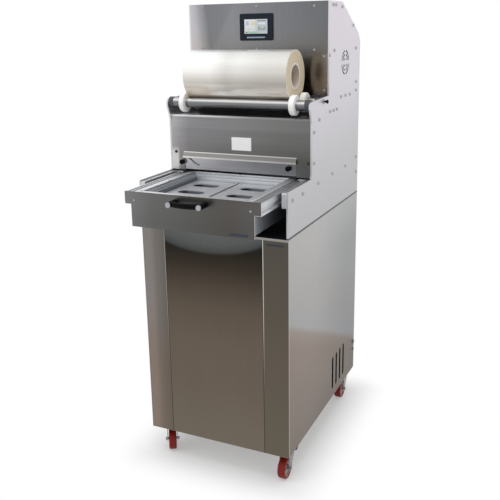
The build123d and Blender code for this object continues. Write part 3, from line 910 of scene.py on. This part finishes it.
def hex_nuts(name, places, direction, size, body):
    """Nuts with a washer under them and a short stud end through the middle."""
    radius, height = size
    washer = [(radius * 1.35, 0), (radius * 1.35, 0.8 * MM)]
    nut = [(radius, 0.8 * MM), (radius, height * 0.9), (radius * 0.92, height)]
    stud = [(radius * 0.5, height * 0.8), (radius * 0.5, height * 1.3), (radius * 0.42, height * 1.4)]
    shape = bmesh.new()
    for place in places:
        turned(shape, place, direction, washer, segments=24, smooth=False)
        turned(shape, place, direction, nut, segments=24, hexagons_from=0, smooth=False)
        turned(shape, place, direction, stud, segments=16)
    from_bmesh(name, shape, body, "zinc", zinc)


# Places of the screws in the side plates, as (from the front, above the floor) in millimetres
SIDE_ROWS = {
    "drawer_guide": [(40, 1018), (134, 1020), (286, 1025), (441, 1030), (598, 1032)],
    "cover": [(241, 1103), (239, 1209), (291, 1246)],
    "shelf": [(407, 1262), (445, 1262), (483, 1262)],
    "head_floor": [(529, 1303), (585, 1303), (639, 1303)],
    "head_front": [(393, 1457), (445, 1472)],
    "head_top": [(427, 1627), (457, 1627), (530, 1622), (670, 1558)],
    "rear_edge": [(709, 1473), (719, 1345), (721, 1312), (740, 1045), (744, 983)],
}
THUMB_SCREW_POINT = (340, 1303)
# Places of the screws in what faces the front, as (from the middle, above the floor) in millimetres
HEAD_POINTS = [(-217, 1631), (0, 1628), (218, 1624), (-222, 1484), (0, 1480), (219, 1476)]
ROLL_PANEL_POINTS = [(-254, 1454), (254, 1454), (-255, 1336), (255, 1336)]
COVER_POINTS = [(-252, 1120), (262, 1106)]
DRAWER_POINTS = [(-208, 1018), (208, 1018)]
# Caps at the rear edge of the cabinet's sides, as (above the floor, radius, height)
REAR_CAPS = [(232 * MM, 10 * MM, 5 * MM), (198 * MM, 6.5 * MM, 4 * MM)]
REAR_CAP_MARGIN = 11 * MM


def side_screws():
    """Rows of screws in both side plates."""
    for name, side in SIDES.items():
        for row, points in SIDE_ROWS.items():
            places = [(side * HALF_WIDTH, FRONT + y * MM, z * MM) for y, z in points]
            screws(f"screws_{row}_{name}", places, side * RIGHT, SIDE_SCREW)


def on_front(points, y):
    """Places in metres for points on a face that looks to the front."""
    return [(x * MM, y, z * MM) for x, z in points]


def panel_screws():
    """Screws in the panels of the head and bolts in the cover."""
    screws("screws_head_panel", on_front(HEAD_POINTS, HEAD_Y), -BACK, PANEL_SCREW)
    screws("screws_roll_back_panel", on_front(ROLL_PANEL_POINTS, ROLL_PANEL_Y), -BACK, PANEL_SCREW)
    screws("bolts_cover", on_front(COVER_POINTS, COVER_Y), -BACK, COVER_BOLT,
           slot="dark_steel", material=screw_dark)


def rear_screws(margin=16 * MM):
    """Two columns of three screws in each panel that faces the rear."""
    for name in ("cabinet_back", "rear_panel"):
        low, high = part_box(name)
        heights = [low.z + margin + share * (high.z - low.z - 2 * margin) for share in (0.0, 0.5, 1.0)]
        places = [(x, high.y, z) for x in (low.x + margin, high.x - margin) for z in heights]
        screws(f"screws_{name}", places, BACK, PANEL_SCREW)


def thumb_screws():
    """Black thumb screw through each side plate beside the rear roller, with a bright washer under it."""
    washer = [(9 * MM, 0), (9 * MM, 1.5 * MM), (8.4 * MM, 1.9 * MM)]
    knob = [(3.6 * MM, 1.9 * MM), (3.6 * MM, 7 * MM), (4.2 * MM, 7.4 * MM), (6.6 * MM, 9 * MM),
            (6.9 * MM, 13 * MM), (6.2 * MM, 14 * MM)]
    y, z = THUMB_SCREW_POINT
    shape = bmesh.new()
    for side in SIDES.values():
        place = (side * HALF_WIDTH, FRONT + y * MM, z * MM)
        turned(shape, place, side * RIGHT, washer, index=1)
        turned(shape, place, side * RIGHT, knob, segments=24)
    from_bmesh("thumb_screws", shape, "machine", "black_plastic", black_plastic, screw_steel)


def rear_caps(name, side):
    """Two low domed caps on a cabinet side, just ahead of its rear edge."""
    shape = bmesh.new()
    for z, radius, height in REAR_CAPS:
        rings = [(radius, 0), (radius, height * 0.35), (radius * 0.92, height * 0.62),
                 (radius * 0.70, height * 0.88), (radius * 0.35, height)]
        turned(shape, (side * HALF_WIDTH, REAR - REAR_CAP_MARGIN, z), side * RIGHT, rings, segments=32)
    from_bmesh(f"rear_caps_{name}", shape, "machine", "zinc", zinc)


def flat_colour(name, *shown):
    """Even, slightly glossy colour for a field or strip of the display."""
    return smooth_part(name, shown, 0.3, mottle=0.02)


def display_fields():
    """What the display shows: plain coloured fields, a row of keys and a bar chart, with no words."""
    shades = {"white": (226, 229, 230), "cream": (222, 214, 192), "blue": (188, 200, 211),
              "slate": (118, 130, 142), "green": (150, 205, 158), "olive": (150, 150, 130)}
    # Each field as (x, z, width, height, shade), from the screen's middle and in shares of its size
    backgrounds = [(-0.25, 0.06, 0.44, 0.78, "white"), (0.26, 0.06, 0.42, 0.78, "blue")]
    fields = [(0.26, 0.40, 0.38, 0.06, "slate"), (-0.13, 0.23, 0.19, 0.30, "cream"),
              (-0.37, 0.23, 0.14, 0.30, "blue")]
    for key in range(5):
        shade = ("cream", "blue")[key % 2]
        fields.append((-0.40 + key * 0.075, -0.19, 0.04, 0.08 + 0.04 * (key % 3), shade))
    for bar, tall in enumerate((0.30, 0.20, 0.12, 0.16, 0.24)):
        fields.append((0.13 + bar * 0.065, -0.26 + tall / 2, 0.045, tall, "olive"))
    fields += [(0.26, 0.20, 0.30, 0.14, "white"), (-0.12, -0.42, 0.38, 0.08, "green"),
               (-0.40, -0.42, 0.06, 0.08, "slate")]
    low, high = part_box("display_screen")
    middle, size = (low + high) / 2, high - low
    shape = bmesh.new()
    for group, thickness in ((backgrounds, 0.25 * MM), (fields, 0.45 * MM)):
        for x, z, width, height, shade in group:
            place = (middle.x + x * size.x, low.y, middle.z + z * size.z)
            front_plate(shape, place, width * size.x, height * size.z, thickness, 0.8 * MM,
                        list(shades).index(shade))
    materials = [flat_colour(f"field_{shade}", *shown) for shade, shown in shades.items()]
    from_bmesh("display_fields", shape, "machine", "screen", *materials)


def bare_plates():
    """Plates without their marks: under the screen, on the cover, on the drawer and on the right column."""
    low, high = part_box("display_housing")
    under_screen = ((low.x + high.x) / 2, low.y, low.z + 11 * MM)
    on_cover = (12.5 * MM, COVER_Y, 1160 * MM)
    on_drawer = (166 * MM, DRAWER_LOW.y, 939 * MM)
    on_post = ((POST_INNER_X + HALF_WIDTH) / 2, FRONT, 874 * MM)
    pale = flat_colour("strip", 142, 158, 176)
    white = smooth_part("plate_white", (250, 250, 249), 0.5, mottle=0.01)
    blue = smooth_part("plate_blue", (42, 54, 68), 0.35, metallic=0.3, mottle=0.06)
    one_plate("display_strip", under_screen, (72, 5, 0.4, 2.4), "machine", "screen", pale)
    one_plate("cover_plate", on_cover, (76, 46, 0.4, 2), "machine", "white_plastic", white)
    one_plate("drawer_name_strip", on_drawer, (66, 7, 0.5, 3), "drawer", "bezel", blue)
    one_plate("post_name_strip", on_post, (62, 7, 0.5, 3), "machine", "bezel", blue)


def drawer_fixings():
    """Screws in the drawer's front plate, in the mould frame's rim and in the corners of the inserts."""
    screws("screws_drawer_front", on_front(DRAWER_POINTS, DRAWER_LOW.y), -BACK, DRAWER_SCREW, "drawer")
    margin = 14 * MM
    side_x = (FRAME_HIGH.x + INSERT_HIGH.x) / 2
    front_y = FRAME_LOW.y + margin
    rear_y = (FRAME_HIGH.y + INSERT_HIGH.y) / 2
    points = [(side * side_x, y) for side in SIDES.values() for y in (front_y, rear_y)]
    points += [(0.0, rear_y), (-side_x, (front_y + rear_y) / 2), (side_x, (front_y + rear_y) / 2)]
    places = [(x, y, FRAME_HIGH.z) for x, y in points]
    screws("screws_mould_frame", places, UP, FRAME_SCREW, "drawer")
    places = [(side * x, y, INSERT_HIGH.z) for side in SIDES.values()
              for x in (INSERT_LOW.x + margin, INSERT_HIGH.x - margin)
              for y in (INSERT_LOW.y + margin, INSERT_HIGH.y - margin)]
    screws("screws_tray_inserts", places, UP, INSERT_SCREW, "drawer")


def castor_fixings():
    """Four bolts under each castor plate and a nut on each end of its axle."""
    plate_thickness, bolt_x, bolt_y, axle_end = 3 * MM, 26 * MM, 38 * MM, 23 * MM
    joints = {joint["name"]: joint for joint in frame["record"]["behaviour"]["joints"]}
    for place in ("front_left", "front_right", "rear_left", "rear_right"):
        swivel = Vector(joints[f"castor_swivel_{place}_turn"]["pos_m"])
        axle = Vector(joints[f"castor_wheel_{place}_spin"]["pos_m"])
        along = Vector(joints[f"castor_wheel_{place}_spin"]["axis"])
        bolts = [(swivel.x + dx * bolt_x, swivel.y + dy * bolt_y, CABINET_BOTTOM - plate_thickness)
                 for dx in (-1, 1) for dy in (-1, 1)]
        hex_nuts(f"castor_bolts_{place}", bolts, -UP, CASTOR_BOLT, "machine")
        for name, side in SIDES.items():
            outward = along * side
            hex_nuts(f"castor_axle_nut_{place}_{name}", [axle + outward * axle_end], outward, AXLE_NUT,
                     f"castor_swivel_{place}")


side_screws()
panel_screws()
rear_screws()
thumb_screws()
for side_name, side_sign in SIDES.items():
    rear_caps(side_name, side_sign)
display_fields()
bare_plates()
drawer_fixings()
castor_fixings()


# Stage, light and camera

# The photo's own camera. Positive angles, in degrees, turn it to the left, tip it up and roll it to the left.
CAMERA_PLACE = (1.0856, -2.3223, 1.5476)
CAMERA_TURN, CAMERA_TIP, CAMERA_ROLL = 24.89, -14.5, -0.97
CAMERA_LENS, CAMERA_SENSOR, CAMERA_SHIFT = 51.58, 36.0, -0.07


def make_camera():
    data = bpy.data.cameras.new("camera")
    data.sensor_width = CAMERA_SENSOR
    data.lens = CAMERA_LENS
    data.shift_y = CAMERA_SHIFT
    camera = add_object("camera", data)
    camera.matrix_world = (Matrix.Translation(CAMERA_PLACE)
                           @ Matrix.Rotation(math.radians(CAMERA_TURN), 4, "Z")
                           @ Matrix.Rotation(math.radians(90 + CAMERA_TIP), 4, "X")
                           @ Matrix.Rotation(math.radians(CAMERA_ROLL), 4, "Z"))
    bpy.context.scene.camera = camera


def seen_or_mirrored(graph):
    """1 for rays that show the background: straight from the camera, mirrored or passed through glass."""
    path = graph.add("ShaderNodeLightPath")
    total = path.outputs["Is Camera Ray"]
    for key in ("Is Glossy Ray", "Is Transmission Ray"):
        total = graph.larger(total, path.outputs[key])
    return total


def make_world():
    """White surroundings that show at full strength and light the machine more softly."""
    world = bpy.data.worlds.new("studio")
    bpy.context.scene.world = world
    world.use_nodes = True
    graph = Graph(world.node_tree)
    background = graph.tree.nodes["Background"]
    background.inputs["Color"].default_value = (1.0, 1.0, 1.0, 1.0)
    as_light, as_seen = 0.62, 1.0
    strength = graph.spread(seen_or_mirrored(graph), 0.0, 1.0, as_light, as_seen, smooth=False)
    graph.connect(strength, background.inputs["Strength"])


def make_floor(reach=60.0):
    """White floor that keeps a soft shadow near the machine and is pure white further out."""
    mesh = bpy.data.meshes.new("floor")
    corners = [(-reach, -reach, 0), (reach, -reach, 0), (reach, reach, 0), (-reach, reach, 0)]
    mesh.from_pydata(corners, [], [(0, 1, 2, 3)])
    floor = add_object("floor", mesh)
    finish = Finish("floor", roughness=0.9)
    finish.fix(Base_Color=(0.93, 0.93, 0.93, 1.0), Specular_IOR_Level=0.0)
    from_middle = finish.math("ABSOLUTE", finish.minus(finish.y, (FRONT + REAR) / 2))
    beside = finish.minus(finish.math("ABSOLUTE", finish.x), HALF_WIDTH)
    ahead = finish.minus(from_middle, (REAR - FRONT) / 2)
    distance = finish.length(finish.larger(beside, 0.0), finish.larger(ahead, 0.0))
    # A part of the white shows under the machine, and all of it from 160 mm outside its footprint
    shadow_start, shadow_end, white_inside = -0.04, 0.16, 0.25
    away = finish.spread(distance, shadow_start, shadow_end, white_inside, 1.0)
    white = finish.add("ShaderNodeEmission")
    mix = finish.add("ShaderNodeMixShader")
    finish.connect(finish.times(away, seen_or_mirrored(finish)), mix.inputs["Fac"])
    finish.connect(finish.shader.outputs["BSDF"], mix.inputs[1])
    finish.connect(white.outputs["Emission"], mix.inputs[2])
    finish.connect(mix.outputs["Shader"], finish.tree.nodes["Material Output"].inputs["Surface"])
    mesh.materials.append(finish.material)


def softbox(name, place, aim, size, power):
    """Rectangular lamp that shows in no reflection."""
    data = bpy.data.lights.new(name, "AREA")
    data.shape = "RECTANGLE"
    data.size, data.size_y = size
    data.energy = power
    lamp = add_object(name, data)
    lamp.location = place
    lamp.visible_glossy = False
    lamp.rotation_euler = (Vector(aim) - Vector(place)).to_track_quat("-Z", "Y").to_euler()


make_camera()
make_world()
make_floor()
softbox("overhead", place=(0.0, -0.4, 3.4), aim=(0.0, 0.0, 0.0), size=(2.6, 2.6), power=46.0)
softbox("left_front", place=(-2.4, -2.2, 2.2), aim=(0.0, 0.0, 0.9), size=(1.2, 2.2), power=16.0)
bpy.context.scene.view_settings.view_transform = "Standard"
